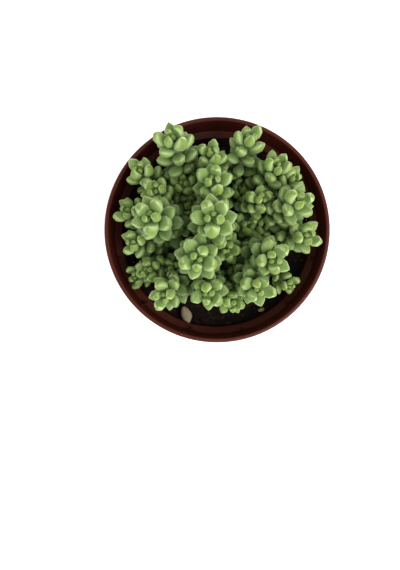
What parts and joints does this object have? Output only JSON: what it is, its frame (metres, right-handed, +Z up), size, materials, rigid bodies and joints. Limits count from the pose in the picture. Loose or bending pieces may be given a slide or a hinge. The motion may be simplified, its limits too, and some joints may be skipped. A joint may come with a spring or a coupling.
{
  "type": "potted burro's tail plant",
  "caption": "Potted burro's tail succulent: upright and leaning shoots of plump pale green leaves growing out of dark soil in a round brown plastic pot.",
  "frame": {"origin": "on the pot's axis, in the plane that its foot ring stands on", "axes": "+Z up along the pot's axis; +X and +Y across the pot, with the barest stretch of soil towards -Y"},
  "size_m": [0.14, 0.14, 0.1505],
  "materials": {
    "pot_plastic": "satin moulded plastic, reddish brown",
    "soil": "crumbly, moist bark and peat compost",
    "leaf": "fleshy leaf under a thin pale wax bloom",
    "dry_leaf": "limp, drying leaf skin"
  },
  "bodies": {
    "root": {"pot": "pot_plastic", "soil": "soil", "shoot_01": "leaf", "shoot_02": "leaf", "shoot_03": "leaf", "shoot_04": "leaf", "shoot_05": "leaf", "shoot_06": "leaf", "shoot_07": "leaf", "shoot_08": "leaf", "shoot_09": "leaf", "shoot_10": "leaf", "shoot_11": "leaf", "shoot_12": "leaf", "shoot_13": "leaf", "shoot_14": "leaf", "shoot_15": "leaf", "shoot_16": "leaf", "shoot_17": "leaf", "shoot_18": "leaf", "shoot_19": "leaf", "shoot_20": "leaf", "shoot_21": "leaf", "shoot_22": "leaf", "shoot_23": "leaf", "shoot_24": "leaf", "shoot_25": "leaf", "shoot_26": "leaf", "shoot_27": "leaf", "shoot_28": "leaf", "shoot_29": "leaf", "shoot_30": "leaf", "shoot_31": "leaf", "shoot_32": "leaf", "shoot_33": "leaf", "shoot_34": "leaf", "shoot_35": "leaf", "dropped_leaf_1": "dry_leaf", "dropped_leaf_2": "dry_leaf"}
  },
  "joints": []
}
